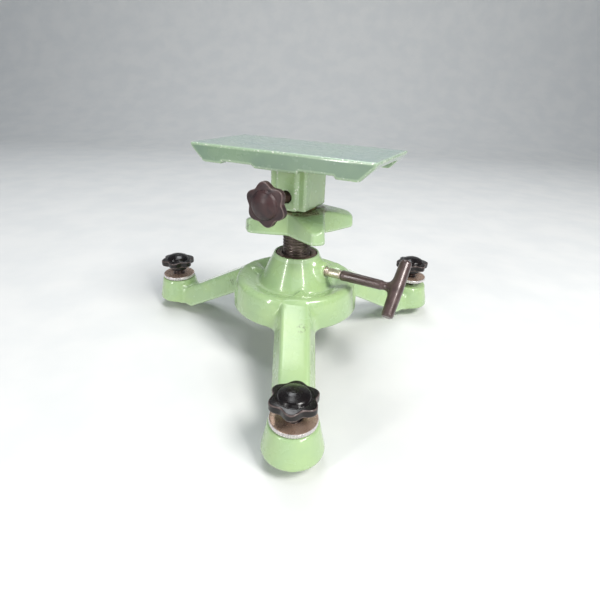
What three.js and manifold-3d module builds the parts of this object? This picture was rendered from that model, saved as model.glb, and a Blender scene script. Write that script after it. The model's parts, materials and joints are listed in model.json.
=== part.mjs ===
// Tripod pedestal rest: a cast tripod with levelling screws, an elevation screw with a
// four-lobed handwheel, and a head plate on a swivelling post. Millimetres, +Z up.
// The origin is on the floor, under the centre of the bounding box.
import * as THREE from 'three';
import { ConvexGeometry } from 'three/addons/geometries/ConvexGeometry.js';
import { mergeVertices } from 'three/addons/utils/BufferGeometryUtils.js';
import Module from 'manifold-3d';

const wasm = await Module();
wasm.setup();

// ---- driving dimensions ---------------------------------------------------------------

const GAP = 0.3; // clearance between neighbouring pieces

const FOOT_CIRCLE_R = 132.5; // column axis to each levelling screw
const COLUMN_Y = FOOT_CIRCLE_R / 4; // puts the bounding box centre over the origin

// On the right foot the nut is backed off and the knob stands higher on its screw.
// lobeAzimuth is where one lobe of the star knob points.
const FEET = [
  { name: 'front', azimuth: -90, nutLift: 0, knobLift: 0, lobeAzimuth: -98 },
  { name: 'right', azimuth: 30, nutLift: 4.4, knobLift: 4.2, lobeAzimuth: 0 },
  { name: 'left', azimuth: 150, nutLift: 0, knobLift: 0, lobeAzimuth: -93 },
];

const BOSS_BOTTOM_R = 19.3;
const BOSS_TOP_R = 15.6;
const BOSS_BOTTOM_Z = 9;
const BOSS_TOP_Z = 29.5;

const BELL_R = 51;
const BELL_BOTTOM_Z = 40;
const BELL_INNER_R = 46.2;
const BELL_CEILING_Z = 57;
const HUB_TOP_Z = 83.9;
const HUB_TOP_R = 17.7;
const SLEEVE_R = 22.5; // tube that hangs inside the bell round the bush
const SLEEVE_BOTTOM_Z = 46;

// A rib on the bell's shoulder carries each leg's top on to a narrow end at the cone.
const RIDGE_START_R = 27.5;
const RIDGE_END_R = 45;
const RIDGE_TOP_Z = 63.2;
const RIDGE_FOOT_Z = 59.5;
const RIDGE_SKEW = 4.8; // how far to one side of the leg the narrow end lies
const LEG_TOP_WIDTH = 20;
const LEG_WALL = 4.5;
const LEG_LEVEL_R = 106; // where the underside of a leg turns level

const SCREW_R = 11.1; // 7/8 inch elevation screw
const SCREW_BOTTOM_Z = 28;
const SPIGOT_R = 8;
const SPIGOT_TOP_Z = 150;
const BUSH_R = 16.4;

const WHEEL_BOTTOM_Z = 102;
const WHEEL_TOP_Z = 119.4;
const WHEEL_TIP_R = 43;
const WHEEL_TIP_TOP_Z = 112;
const WHEEL_TIP_BOTTOM_Z = 102.5;
const WHEEL_TIP_HALF_WIDTH = 5.4;
const WHEEL_WAIST_R = 21.5;
const WHEEL_LOBE_AZIMUTH = -73.5;
const WHEEL_LOBES = 4;
const WHEEL_OFFSET = [2.3, 1.2, 0]; // the lobed casting sits off its bore

const WASHER_R = 14.2;
const WASHER_THICK = 1.3;

const HEAD_AZIMUTH = -28; // direction of the plate's long axis
const PLATE_LENGTH = 140.4;
const PLATE_WIDTH = 69;
const PLATE_SHIFT = -1.2; // the plate's middle from the column axis, along the plate
const PLATE_TOP_Z = 163.4;
const PLATE_THICK = 5;
const LIP_BOTTOM_Z = 150.7;
const LIP_THICK = 7;
const POST_LENGTH = 28.8; // along the plate
const POST_DEPTH = 34.6; // across the plate
const CLAMP_PAD_PROUD = 2.6;
const CLAMP_PAD_LENGTH = 18;
const CLAMP_Z = 131;
const CLAMP_KNOB_START = 37.4; // column axis to the end of the knob's hub

const CLAMP_SCREW_R = 3.97; // 5/16 inch
const LOCK_SCREW_R = 3.5;
const LOCK_TANG_R = 2.2; // end of the lock screw inside the T-handle
const LEVEL_SCREW_R = 4.76; // 3/8 inch
const STAR_R = 15.3; // 1 1/4 inch star knobs
const STAR_WAIST_R = 12.6;
const NUT_R = 14.65;
const NUT_THICK = 3.2;

const LOCK_AZIMUTH = -29.7;
const LOCK_Z = 72.9;
const LOCK_HANDLE_START_R = 40.5;
const LOCK_BAR_R = 84.3; // column axis to the crossbar's axis
const LOCK_BAR_HALF = 22.8;
const LOCK_BAR_TILT = 45;

// ---- materials ------------------------------------------------------------------------

function paint(color, roughness, metalness) {
  return new THREE.MeshStandardMaterial({ color, roughness, metalness });
}

const enamel = paint(0x9cc487, 0.3, 0.0);
const darkSteel = paint(0x3a302c, 0.5, 0.9);
const brightSteel = paint(0xb9a79a, 0.35, 0.9);
const nutSteel = paint(0xb4aaa4, 0.3, 0.9);
const blackPlastic = paint(0x17120f, 0.2, 0.0);
const handleFinish = paint(0x3b2a25, 0.35, 0.3);
const brass = paint(0xb08d4a, 0.4, 0.9);

// ---- solid helpers --------------------------------------------------------------------

const rad = THREE.MathUtils.degToRad;

// A closed geometry as a manifold solid.
function solid(geometry) {
  const bare = geometry.index ? geometry.toNonIndexed() : geometry.clone();
  for (const key of Object.keys(bare.attributes)) {
    if (key !== 'position') bare.deleteAttribute(key);
  }
  const merged = mergeVertices(bare, 1e-4);
  return new wasm.Manifold(new wasm.Mesh({
    numProp: 3,
    vertProperties: Float32Array.from(merged.attributes.position.array),
    triVerts: Uint32Array.from(merged.index.array),
  }));
}

function geometryOf(manifold) {
  const mesh = manifold.getMesh();
  const geometry = new THREE.BufferGeometry();
  geometry.setAttribute('position', new THREE.BufferAttribute(Float32Array.from(mesh.vertProperties), 3));
  geometry.setIndex(new THREE.BufferAttribute(Uint32Array.from(mesh.triVerts), 1));
  geometry.computeVertexNormals();
  return geometry;
}

function moved(geometry, matrix) {
  return geometry.clone().applyMatrix4(matrix);
}

// A profile of [radius, height] points turned about Z.
function turned(profile, segments = 48) {
  const points = profile.map(([r, z]) => new THREE.Vector2(r, z));
  const first = points[0];
  const last = points[points.length - 1];
  if (first.x > 0 || last.x > 0) points.push(first.clone());
  return new THREE.LatheGeometry(points, segments).rotateX(Math.PI / 2);
}

function rod(r, z0, z1, segments = 32) {
  return turned([[0, z0], [r, z0], [r, z1], [0, z1]], segments);
}

function tube(inner, outer, z0, z1, segments = 32) {
  return turned([[inner, z0], [outer, z0], [outer, z1], [inner, z1]], segments);
}

// An outline of [x, y] points raised from z0 to z1.
function raised(outline, z0, z1) {
  const shape = new THREE.Shape(outline.map(([x, y]) => new THREE.Vector2(x, y)));
  const geometry = new THREE.ExtrudeGeometry(shape, { depth: z1 - z0, bevelEnabled: false });
  return geometry.translate(0, 0, z0);
}

function block(x0, x1, y0, y1, z0, z1) {
  return new THREE.BoxGeometry(x1 - x0, y1 - y0, z1 - z0)
    .translate((x0 + x1) / 2, (y0 + y1) / 2, (z0 + z1) / 2);
}

function hull(points) {
  return new ConvexGeometry(points.map(([x, y, z]) => new THREE.Vector3(x, y, z)));
}

// Turns a shape built along +Z so that it points outward along a horizontal azimuth.
function outward(azimuth, height) {
  return new THREE.Matrix4()
    .makeTranslation(0, 0, height)
    .multiply(new THREE.Matrix4().makeRotationZ(rad(azimuth)))
    .multiply(new THREE.Matrix4().makeRotationY(Math.PI / 2));
}

function aboutColumn(azimuth) {
  return new THREE.Matrix4().makeRotationZ(rad(azimuth));
}

// ---- the object -----------------------------------------------------------------------

const pedestal = new THREE.Group();
pedestal.position.y = COLUMN_Y;

function add(name, geometry, material, parent = pedestal) {
  const mesh = new THREE.Mesh(geometry, material);
  mesh.name = name;
  parent.add(mesh);
  return mesh;
}

// Outline with round lobes: straight-sided waists run between the lobes' round tips.
function lobedOutline(lobes, tipR, tipRound, waistR, turn, steps = 6) {
  const outline = [];
  const pitch = (2 * Math.PI) / lobes;
  for (let i = 0; i < lobes; i += 1) {
    const centre = rad(turn) + i * pitch;
    const reach = tipR - tipRound;
    for (let k = 0; k <= steps; k += 1) {
      const a = centre + (k / steps - 0.5) * Math.PI * 0.9;
      outline.push([
        reach * Math.cos(centre) + tipRound * Math.cos(a),
        reach * Math.sin(centre) + tipRound * Math.sin(a),
      ]);
    }
    for (const share of [0.34, 0.5, 0.66]) {
      const a = centre + share * pitch;
      const r = share === 0.5 ? waistR : waistR * 1.03;
      outline.push([r * Math.cos(a), r * Math.sin(a)]);
    }
  }
  return outline;
}

// -- base casting --

// Leg top and bottom heights fall in straight lines from the bell. The underside then runs
// level into the foot boss.
const legTopZ = (r) => 61.2 - (r - 46) * 0.545;
const legBottomZ = (r) => Math.max(39.5 - (r - BELL_R) * 0.555, BOSS_BOTTOM_Z);
const legBottomWidth = (r) => 30.4 - (r - BELL_R) * 0.05;

// Trapezoid section of a leg at radius r, shrunk by a wall on each side and on top.
function legSection(r, wall = 0, drop = 0) {
  const top = LEG_TOP_WIDTH / 2 - wall;
  const bottom = legBottomWidth(r) / 2 - wall;
  const edge = wall ? 1 : 2.5;
  const zTop = legTopZ(r) - wall;
  const zBottom = legBottomZ(r) - drop;
  const points = [];
  for (const side of [-1, 1]) {
    points.push([r, side * (top - edge), zTop]);
    points.push([r, side * top, zTop - edge * 0.7]);
    points.push([r, side * bottom, zBottom]);
  }
  return points;
}

function baseCasting() {
  const bell = turned([
    [0, BELL_BOTTOM_Z], [BELL_R, BELL_BOTTOM_Z], [BELL_R - 0.5, 49], [BELL_R - 1.9, 55.5],
    [BELL_R - 3.8, 59.8], [BELL_R - 6.2, 62.4], [BELL_R - 9.5, 63.4], [37, 62.2], [32, 60.6],
    [29.2, 61.2], [27.4, 64.2],
    [HUB_TOP_R + 0.6, HUB_TOP_Z - 1.6], [HUB_TOP_R, HUB_TOP_Z], [0, HUB_TOP_Z],
  ], 60);
  let casting = solid(bell);

  for (const { azimuth } of FEET) {
    const leg = hull([RIDGE_END_R, LEG_LEVEL_R, FOOT_CIRCLE_R - 8].flatMap((r) => legSection(r)));
    const ridge = hull([
      ...[-0.6, 0.6].map((side) => [RIDGE_START_R, RIDGE_SKEW + side, RIDGE_TOP_Z]),
      ...[-3.5, 3.5].map((side) => [RIDGE_START_R, RIDGE_SKEW + side, RIDGE_FOOT_Z]),
      ...[-7, 7].map((side) => [RIDGE_END_R, side, RIDGE_TOP_Z - 0.4]),
      ...[-10, 10].map((side) => [RIDGE_END_R, side, RIDGE_FOOT_Z - 1.5]),
    ]);
    const boss = turned([
      [0, BOSS_BOTTOM_Z], [BOSS_BOTTOM_R - 1, BOSS_BOTTOM_Z], [BOSS_BOTTOM_R, BOSS_BOTTOM_Z + 1.2],
      [BOSS_TOP_R, BOSS_TOP_Z - 0.8], [BOSS_TOP_R - 0.8, BOSS_TOP_Z], [0, BOSS_TOP_Z],
    ], 40).translate(FOOT_CIRCLE_R, 0, 0);
    for (const piece of [leg, ridge, boss]) {
      casting = casting.add(solid(moved(piece, aboutColumn(azimuth))));
    }
  }

  const sideBoss = moved(turned([[0, 12], [8.6, 12], [7.4, 26], [6.6, 27], [0, 27]], 32),
    outward(LOCK_AZIMUTH, LOCK_Z));
  casting = casting.add(solid(sideBoss));

  const cuts = [
    turned([
      [SLEEVE_R, BELL_BOTTOM_Z - 30], [BELL_INNER_R, BELL_BOTTOM_Z - 30], [BELL_INNER_R - 0.4, 50],
      [BELL_INNER_R - 2.6, BELL_CEILING_Z - 2], [BELL_INNER_R - 6, BELL_CEILING_Z],
      [SLEEVE_R, BELL_CEILING_Z],
    ], 48),
    rod(SLEEVE_R + 1, BELL_BOTTOM_Z - 30, SLEEVE_BOTTOM_Z, 48),
    rod(BUSH_R + GAP, SLEEVE_BOTTOM_Z - 1, HUB_TOP_Z + 1, 48),
    moved(rod(LOCK_SCREW_R + GAP, 10, 40, 24), outward(LOCK_AZIMUTH, LOCK_Z)),
  ];
  for (const { azimuth } of FEET) {
    const channel = hull([BELL_R + 4, LEG_LEVEL_R].flatMap((r) => legSection(r, LEG_WALL, 12)));
    const bore = rod(LEVEL_SCREW_R + GAP, 0, 60, 24).translate(FOOT_CIRCLE_R, 0, 0);
    const nutSeat = rod(NUT_R + 0.6, BOSS_TOP_Z, 60, 36).translate(FOOT_CIRCLE_R, 0, 0);
    for (const cut of [channel, bore, nutSeat]) cuts.push(moved(cut, aboutColumn(azimuth)));
  }
  for (const cut of cuts) casting = casting.subtract(solid(cut));
  return geometryOf(casting);
}

add('base_casting', baseCasting(), enamel);

// -- hub bush and lock --

function hubBush() {
  const bush = solid(tube(SCREW_R + GAP, BUSH_R, SLEEVE_BOTTOM_Z, HUB_TOP_Z - 0.4, 48));
  const plugHole = moved(rod(LOCK_SCREW_R + GAP, 8, 20, 24), outward(LOCK_AZIMUTH, LOCK_Z));
  return geometryOf(bush.subtract(solid(plugHole)));
}

add('hub_bush', hubBush(), darkSteel);

const lockGroup = new THREE.Group();
lockGroup.applyMatrix4(outward(LOCK_AZIMUTH, LOCK_Z));
pedestal.add(lockGroup);

const LOCK_PLUG_START = SCREW_R + 0.5;
const LOCK_PLUG_END = 15;
const LOCK_SCREW_END = LOCK_HANDLE_START_R + 12;
add('lock_plug', rod(LOCK_SCREW_R - 0.2, LOCK_PLUG_START, LOCK_PLUG_END, 20), brass, lockGroup);
add('lock_screw', turned([
  [0, LOCK_PLUG_END + GAP], [LOCK_SCREW_R, LOCK_PLUG_END + GAP],
  [LOCK_SCREW_R, LOCK_HANDLE_START_R - GAP], [LOCK_TANG_R, LOCK_HANDLE_START_R - GAP],
  [LOCK_TANG_R, LOCK_SCREW_END], [0, LOCK_SCREW_END],
], 24), brightSteel, lockGroup);

function tHandle() {
  const shank = solid(turned([
    [0, LOCK_HANDLE_START_R], [3.6, LOCK_HANDLE_START_R], [4.2, LOCK_HANDLE_START_R + 0.8],
    [3.7, LOCK_BAR_R - 9], [4, LOCK_BAR_R - 6], [4.8, LOCK_BAR_R - 2], [0, LOCK_BAR_R],
  ], 24));
  const end = LOCK_BAR_HALF;
  const bar = solid(turned([
    [0, -end], [3.6, -end], [4.7, -end + 1.2], [4.9, 0], [4.7, end - 1.2], [3.6, end], [0, end],
  ], 24)
    .rotateX(Math.PI / 2)
    .rotateZ(rad(LOCK_BAR_TILT))
    .translate(0, 0, LOCK_BAR_R));
  const socket = solid(rod(LOCK_TANG_R + GAP, LOCK_HANDLE_START_R - 1, LOCK_SCREW_END + GAP, 24));
  return geometryOf(shank.add(bar).subtract(socket));
}

add('t_handle', tHandle(), handleFinish, lockGroup);

// -- elevation screw, wheel and washer --

const STOP_THICK = 4;
const STOP_SCREW_R = 3;

function elevationScrew() {
  const body = solid(turned([
    [0, SCREW_BOTTOM_Z], [SCREW_R - 1.2, SCREW_BOTTOM_Z], [SCREW_R, SCREW_BOTTOM_Z + 1.2],
    [SCREW_R, WHEEL_TOP_Z], [SPIGOT_R, WHEEL_TOP_Z],
    [SPIGOT_R, CLAMP_Z - 5], [SPIGOT_R - 1.2, CLAMP_Z - 4],
    [SPIGOT_R - 1.2, CLAMP_Z + 4], [SPIGOT_R, CLAMP_Z + 5],
    [SPIGOT_R, SPIGOT_TOP_Z - 1], [SPIGOT_R - 1, SPIGOT_TOP_Z], [0, SPIGOT_TOP_Z],
  ], 40));
  const tapped = solid(rod(STOP_SCREW_R + GAP, SCREW_BOTTOM_Z - 1, SCREW_BOTTOM_Z + 12, 20));
  return geometryOf(body.subtract(tapped));
}

add('elevation_screw', elevationScrew(), darkSteel);
add('stop_washer', tube(STOP_SCREW_R + GAP, SCREW_R + 3.4, SCREW_BOTTOM_Z - GAP - STOP_THICK,
  SCREW_BOTTOM_Z - GAP, 32), darkSteel);
add('stop_screw', turned([
  [0, SCREW_BOTTOM_Z - 8.2], [5.2, SCREW_BOTTOM_Z - 8.2], [5.2, SCREW_BOTTOM_Z - 4.6],
  [STOP_SCREW_R, SCREW_BOTTOM_Z - 4.6], [STOP_SCREW_R, SCREW_BOTTOM_Z + 10], [0, SCREW_BOTTOM_Z + 10],
], 20), darkSteel);

const GRUB_AZIMUTH = WHEEL_LOBE_AZIMUTH + 225;
const GRUB_Z = WHEEL_BOTTOM_Z + 6;
const GRUB_R = 2.5;

// Straight flanks run from a sharp web to each lobe's blunt, round-cornered tip.
function wheelOutline() {
  const outline = [];
  const w = WHEEL_TIP_HALF_WIDTH;
  const tip = [[-4.5, w + 1.6], [-1.4, w + 0.2], [0, w - 2.2]];
  for (let i = 0; i < WHEEL_LOBES; i += 1) {
    const turn = rad(WHEEL_LOBE_AZIMUTH + (360 / WHEEL_LOBES) * i);
    const along = new THREE.Vector2(Math.cos(turn), Math.sin(turn));
    const across = new THREE.Vector2(-along.y, along.x);
    const corners = [...tip.map(([d, h]) => [d, -h]), ...tip.slice().reverse()];
    for (const [d, h] of corners) {
      const p = along.clone().multiplyScalar(WHEEL_TIP_R + d).addScaledVector(across, h);
      outline.push([p.x, p.y]);
    }
    const web = turn + Math.PI / WHEEL_LOBES;
    outline.push([WHEEL_WAIST_R * Math.cos(web), WHEEL_WAIST_R * Math.sin(web)]);
  }
  return outline;
}

function elevationWheel() {
  const lobes = solid(raised(wheelOutline(), WHEEL_BOTTOM_Z, WHEEL_TOP_Z));
  const crown = solid(turned([
    [0, WHEEL_BOTTOM_Z], [26, WHEEL_BOTTOM_Z], [WHEEL_TIP_R - 2, WHEEL_TIP_BOTTOM_Z],
    [WHEEL_TIP_R, WHEEL_TIP_BOTTOM_Z + 1.8],
    [WHEEL_TIP_R, WHEEL_TIP_TOP_Z - 2.5], [WHEEL_TIP_R - 2.5, WHEEL_TIP_TOP_Z],
    [19, WHEEL_TOP_Z - 0.4], [18, WHEEL_TOP_Z], [0, WHEEL_TOP_Z],
  ], 48));
  const bore = solid(rod(SCREW_R + GAP, WHEEL_BOTTOM_Z - 1, WHEEL_TOP_Z + 1, 40));
  const grubHole = solid(moved(rod(GRUB_R + GAP, SCREW_R - 1, WHEEL_TIP_R, 16),
    outward(GRUB_AZIMUTH, GRUB_Z)));
  const casting = lobes.intersect(crown).translate(WHEEL_OFFSET);
  return geometryOf(casting.subtract(bore).subtract(grubHole));
}

add('elevation_wheel', elevationWheel(), enamel);
add('wheel_grub_screw', moved(rod(GRUB_R, SCREW_R + GAP, WHEEL_WAIST_R - 3.2, 16),
  outward(GRUB_AZIMUTH, GRUB_Z)), darkSteel);

const WASHER_BOTTOM_Z = WHEEL_TOP_Z + GAP;
const POST_BOTTOM_Z = WASHER_BOTTOM_Z + WASHER_THICK + GAP;
add('thrust_washer', tube(SPIGOT_R + GAP, WASHER_R, WASHER_BOTTOM_Z, WASHER_BOTTOM_Z + WASHER_THICK, 48),
  brass);

// -- head --

const headGroup = new THREE.Group();
headGroup.rotation.z = rad(HEAD_AZIMUTH);
pedestal.add(headGroup);

const clampFaceY = -POST_DEPTH / 2 - CLAMP_PAD_PROUD;

// Side view of the plate: bevelled ends, and a lip with three pads between two shallow reliefs.
function lipOutline() {
  const half = PLATE_LENGTH / 2;
  const low = LIP_BOTTOM_Z;
  const relief = LIP_BOTTOM_Z + 1.8;
  const right = [
    [16, low], [18.5, relief], [42.5, relief], [44, low], [58, low], [60.5, low + 0.8],
    [half - 1.5, PLATE_TOP_Z - 3.5], [half, PLATE_TOP_Z - 1], [half - 0.6, PLATE_TOP_Z],
  ];
  const left = right.map(([x, z]) => [-x, z]).reverse();
  return [...left, ...right];
}

function headCasting() {
  const alongY = new THREE.Matrix4().makeRotationX(Math.PI / 2);
  const half = PLATE_WIDTH / 2;
  const plank = moved(raised(lipOutline(), -half, half), alongY).translate(PLATE_SHIFT, 0, 0);
  const channel = block(-PLATE_LENGTH, PLATE_LENGTH, -half + LIP_THICK, half - LIP_THICK,
    LIP_BOTTOM_Z - 5, PLATE_TOP_Z - PLATE_THICK);
  const inside = half - LIP_THICK;
  const filletTop = PLATE_TOP_Z - PLATE_THICK + 2;
  const fillets = [-1, 1].map((side) => hull([
    [-64, side * (inside + 1), filletTop], [64, side * (inside + 1), filletTop],
    [-64, side * (inside - 4), filletTop], [64, side * (inside - 4), filletTop],
    [-62, side * (inside + 1), filletTop - 5], [62, side * (inside + 1), filletTop - 5],
  ]));
  const x = POST_LENGTH / 2;
  const y = POST_DEPTH / 2;
  const post = block(-x, x, -y, y, POST_BOTTOM_Z, PLATE_TOP_Z - 2);
  const padHalf = CLAMP_PAD_LENGTH / 2;
  const round = CLAMP_PAD_PROUD - 0.6;
  const padEdge = [
    [padHalf, 0], [padHalf, clampFaceY + round],
    [padHalf - round * 0.3, clampFaceY + round * 0.3], [padHalf - round, clampFaceY],
  ];
  const padOutline = [...padEdge, ...padEdge.map(([px, py]) => [-px, py]).reverse()];
  const pad = raised(padOutline, POST_BOTTOM_Z, PLATE_TOP_Z - 2);
  let head = solid(plank).subtract(solid(channel));
  for (const piece of [...fillets, post, pad]) head = head.add(solid(piece));
  const bore = solid(rod(SPIGOT_R + GAP, POST_BOTTOM_Z - 1, SPIGOT_TOP_Z + 2, 40));
  const clampHole = solid(rod(CLAMP_SCREW_R + GAP, 0, 40, 24)
    .rotateX(Math.PI / 2)
    .translate(0, 0, CLAMP_Z));
  return geometryOf(head.subtract(bore).subtract(clampHole));
}

add('head_casting', headCasting(), enamel, headGroup);

// -- star knobs --

const STAR_THICK = 5.6; // rim of the star, under the dome
const STAR_DOME = 4.6;
const STAR_HUB = 5.2; // hub under the star
const STAR_HUB_R = 7.8;

// A star knob with its hub's end at z = 0 and its domed face up.
function starKnob(turn, socketR, socketDepth) {
  const top = STAR_HUB + STAR_THICK;
  const outline = lobedOutline(6, STAR_R, 2.9, STAR_WAIST_R, turn, 4);
  const star = solid(raised(outline, STAR_HUB, top + STAR_DOME));
  const crown = solid(turned([
    [0, STAR_HUB], [STAR_R, STAR_HUB], [STAR_R, top - 0.9], [STAR_R - 1, top],
    [10.5, top + 1.2], [8.6, top + 2.6], [6, top + 3.9], [3, top + STAR_DOME - 0.1], [0, top + STAR_DOME],
  ], 40));
  const hub = solid(turned([
    [0, 0], [STAR_HUB_R - 1, 0], [STAR_HUB_R, 1], [9, STAR_HUB + 1], [0, STAR_HUB + 1],
  ], 32));
  const socket = solid(rod(socketR, -1, socketDepth, 24));
  return geometryOf(star.intersect(crown).add(hub).subtract(socket));
}

// -- clamp of the head --

const clampGroup = new THREE.Group();
clampGroup.position.set(0, 0, CLAMP_Z);
clampGroup.rotation.x = Math.PI / 2; // local +Z points out of the post's front
headGroup.add(clampGroup);

const CLAMP_PLUG_START = SPIGOT_R - 1.2 + 0.6;
const CLAMP_PLUG_END = 12;
const CLAMP_SCREW_END = CLAMP_KNOB_START + 10;
add('clamp_plug', rod(CLAMP_SCREW_R - 0.2, CLAMP_PLUG_START, CLAMP_PLUG_END, 20), brass, clampGroup);
add('clamp_screw', rod(CLAMP_SCREW_R, CLAMP_PLUG_END + GAP, CLAMP_SCREW_END, 24), darkSteel, clampGroup);
add('clamp_knob', starKnob(98, CLAMP_SCREW_R + GAP, CLAMP_SCREW_END - CLAMP_KNOB_START + GAP),
  blackPlastic, clampGroup).position.z = CLAMP_KNOB_START;

// -- levelling screws, knobs and lock nuts --

const KNOB_START_Z = 36.8;
const LEVEL_SCREW_TOP_Z = 46.5;
const LEVEL_TIP_R = 3.4;

for (const { name, azimuth, nutLift, knobLift, lobeAzimuth } of FEET) {
  const foot = new THREE.Group();
  foot.position.set(FOOT_CIRCLE_R * Math.cos(rad(azimuth)), FOOT_CIRCLE_R * Math.sin(rad(azimuth)), 0);
  pedestal.add(foot);
  const screw = turned([
    [0, 0], [LEVEL_TIP_R, 0], [LEVEL_SCREW_R, 1.6], [LEVEL_SCREW_R, LEVEL_SCREW_TOP_Z],
    [0, LEVEL_SCREW_TOP_Z],
  ], 24);
  add(`levelling_screw_${name}`, screw, darkSteel, foot);
  const nutZ = BOSS_TOP_Z + GAP + nutLift;
  const nut = turned([
    [LEVEL_SCREW_R + GAP, nutZ], [NUT_R - 0.6, nutZ], [NUT_R, nutZ + 0.6],
    [NUT_R, nutZ + NUT_THICK - 0.6], [NUT_R - 0.6, nutZ + NUT_THICK],
    [LEVEL_SCREW_R + GAP, nutZ + NUT_THICK],
  ], 36);
  add(`lock_nut_${name}`, nut, nutSteel, foot);
  const knobZ = KNOB_START_Z + knobLift;
  add(`levelling_knob_${name}`, starKnob(lobeAzimuth, LEVEL_SCREW_R + GAP,
    LEVEL_SCREW_TOP_Z + GAP - KNOB_START_Z), blackPlastic, foot).position.z = knobZ;
}

export default pedestal;
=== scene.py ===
"""Looks of a cast tripod pedestal rest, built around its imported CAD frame.

Castings and knobs are modelled as distance fields in millimetres, meshed and placed in the row
frame. Screws and nuts are turned meshes with real threads and knurls. Every surface has a
procedural material.
"""
import json
from math import atan2, cos, degrees, pi, radians, sin

import bpy
import numpy as np
import openvdb
from mathutils import Matrix, Vector


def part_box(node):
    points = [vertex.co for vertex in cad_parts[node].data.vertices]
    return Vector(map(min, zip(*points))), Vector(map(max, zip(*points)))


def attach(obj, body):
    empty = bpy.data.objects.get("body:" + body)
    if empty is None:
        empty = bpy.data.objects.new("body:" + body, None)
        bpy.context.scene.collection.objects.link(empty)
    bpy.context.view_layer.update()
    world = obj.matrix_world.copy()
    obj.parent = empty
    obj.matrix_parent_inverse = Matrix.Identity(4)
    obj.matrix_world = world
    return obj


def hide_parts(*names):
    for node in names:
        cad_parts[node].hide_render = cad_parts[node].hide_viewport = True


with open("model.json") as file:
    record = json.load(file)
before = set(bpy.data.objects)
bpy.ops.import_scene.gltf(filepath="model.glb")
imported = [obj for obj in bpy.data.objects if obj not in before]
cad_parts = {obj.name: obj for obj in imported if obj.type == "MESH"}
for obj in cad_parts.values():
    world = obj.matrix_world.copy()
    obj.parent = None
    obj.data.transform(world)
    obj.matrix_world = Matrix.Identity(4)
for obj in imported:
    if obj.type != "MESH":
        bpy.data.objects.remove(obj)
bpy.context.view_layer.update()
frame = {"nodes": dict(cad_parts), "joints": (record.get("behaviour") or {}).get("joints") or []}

MM = 0.001

# ---- places, in millimetres, from the frame ---------------------------------------------


def corners(node):
    """The lowest and highest corner of a CAD node, in millimetres."""
    low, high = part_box(node)
    return np.array(low) / MM, np.array(high) / MM


def floor_point(node):
    """The point on the floor under a CAD node's middle."""
    low, high = corners(node)
    return np.array([(low[0] + high[0]) / 2, (low[1] + high[1]) / 2, 0.0])


def bottom(node):
    return corners(node)[0][2]


def top(node):
    return corners(node)[1][2]


JOINTS = {joint["name"]: joint for joint in frame["joints"]}


def azimuth_of(joint):
    """The direction of a joint's axis, in degrees from +X."""
    axis = JOINTS[joint]["axis"]
    return degrees(atan2(axis[1], axis[0]))


def height_of(joint):
    return JOINTS[joint]["pos_m"][2] / MM


SIDES = {"front": -90.0, "right": 30.0, "left": 150.0}
COLUMN = floor_point("thrust_washer")
FOOT = {side: floor_point(f"levelling_screw_{side}") for side in SIDES}
FOOT_CIRCLE_R = float(np.linalg.norm(FOOT["front"] - COLUMN))

LOCK_AZIMUTH = azimuth_of("lock_turn")
LOCK_Z = height_of("lock_turn")
CLAMP_AZIMUTH = azimuth_of("clamp_turn")
CLAMP_Z = height_of("clamp_turn")
HEAD_AZIMUTH = CLAMP_AZIMUTH + 90.0

PLATE_TOP_Z = top("head_casting")
POST_BOTTOM_Z = bottom("head_casting")
HUB_TOP_Z = top("base_casting")
BOSS_BOTTOM_Z = bottom("base_casting")
WHEEL_BOTTOM_Z = bottom("elevation_wheel")
WHEEL_TOP_Z = top("elevation_wheel")

# ---- sizes, in millimetres --------------------------------------------------------------

GAP = 0.3  # clearance between pieces that move on each other

BELL_R = 51.0
BELL_BOTTOM_Z = 40.0
SLEEVE_R = 22.5
SLEEVE_BOTTOM_Z = 46.0
BUSH_R = 16.4
BOSS_BOTTOM_R = 19.3
BOSS_TOP_R = 15.6
BOSS_TOP_Z = 29.5

SCREW_R = 11.1
SCREW_PITCH = 2.31
SCREW_THREAD_DEPTH = 0.85
SPIGOT_R = 8.0
SPIGOT_BORE_TOP_Z = PLATE_TOP_Z - 11.4

WHEEL_TIP_R = 43.0
WHEEL_WAIST_R = 21.5
WHEEL_LOBE_AZIMUTH = -73.5
WHEEL_OFFSET = (2.3, 1.2)  # the lobed casting's middle from its bore

PLATE_HALF_LENGTH = 70.2
PLATE_HALF_WIDTH = 34.5
PLATE_THICK = 5.0
PLATE_SHIFT = -1.2  # the plate's middle from the column, along its length
LIP_THICK = 7.0
LIP_BOTTOM_Z = PLATE_TOP_Z - 12.7
POST_HALF_LENGTH = 14.4
POST_HALF_DEPTH = 17.3
PAD_PROUD = 2.6
PAD_HALF = 9.0

STAR_R = 15.3
STAR_WAIST_R = 12.6
KNOB_HEIGHT = 15.4

CLAMP_BORE_R = 4.3
CLAMP_SCREW_R = 3.97
CLAMP_SCREW_START = 12.3
CLAMP_PITCH = 1.41
CLAMP_THREAD_DEPTH = 0.45
CLAMP_THREAD_END = 36.0
CLAMP_KNOB_START = 37.4
CLAMP_KNOB_TURN = 8.0

LOCK_SCREW_R = 3.5
LOCK_SCREW_START = 15.3
LOCK_PITCH = 1.27
LOCK_THREAD_DEPTH = 0.32
LOCK_THREAD_END = 31.0
HANDLE_START_R = 40.5
HANDLE_SOCKET_R = 2.5
HANDLE_SOCKET_DEPTH = 12.3
BAR_R = 84.3
BAR_HALF = 22.8
BAR_TILT = 45.0

LEVEL_SCREW_R = 4.76
LEVEL_PITCH = 1.59
LEVEL_THREAD_DEPTH = 0.62
LEVEL_KNOB_TURN = {"front": -98.0, "right": 0.0, "left": -93.0}
NUT_R = 14.65
KNURLS = 56
KNURL_DEPTH = 0.6

# ---- distance fields --------------------------------------------------------------------
# A field takes points, one per row, and gives their distance outside a solid.


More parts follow.
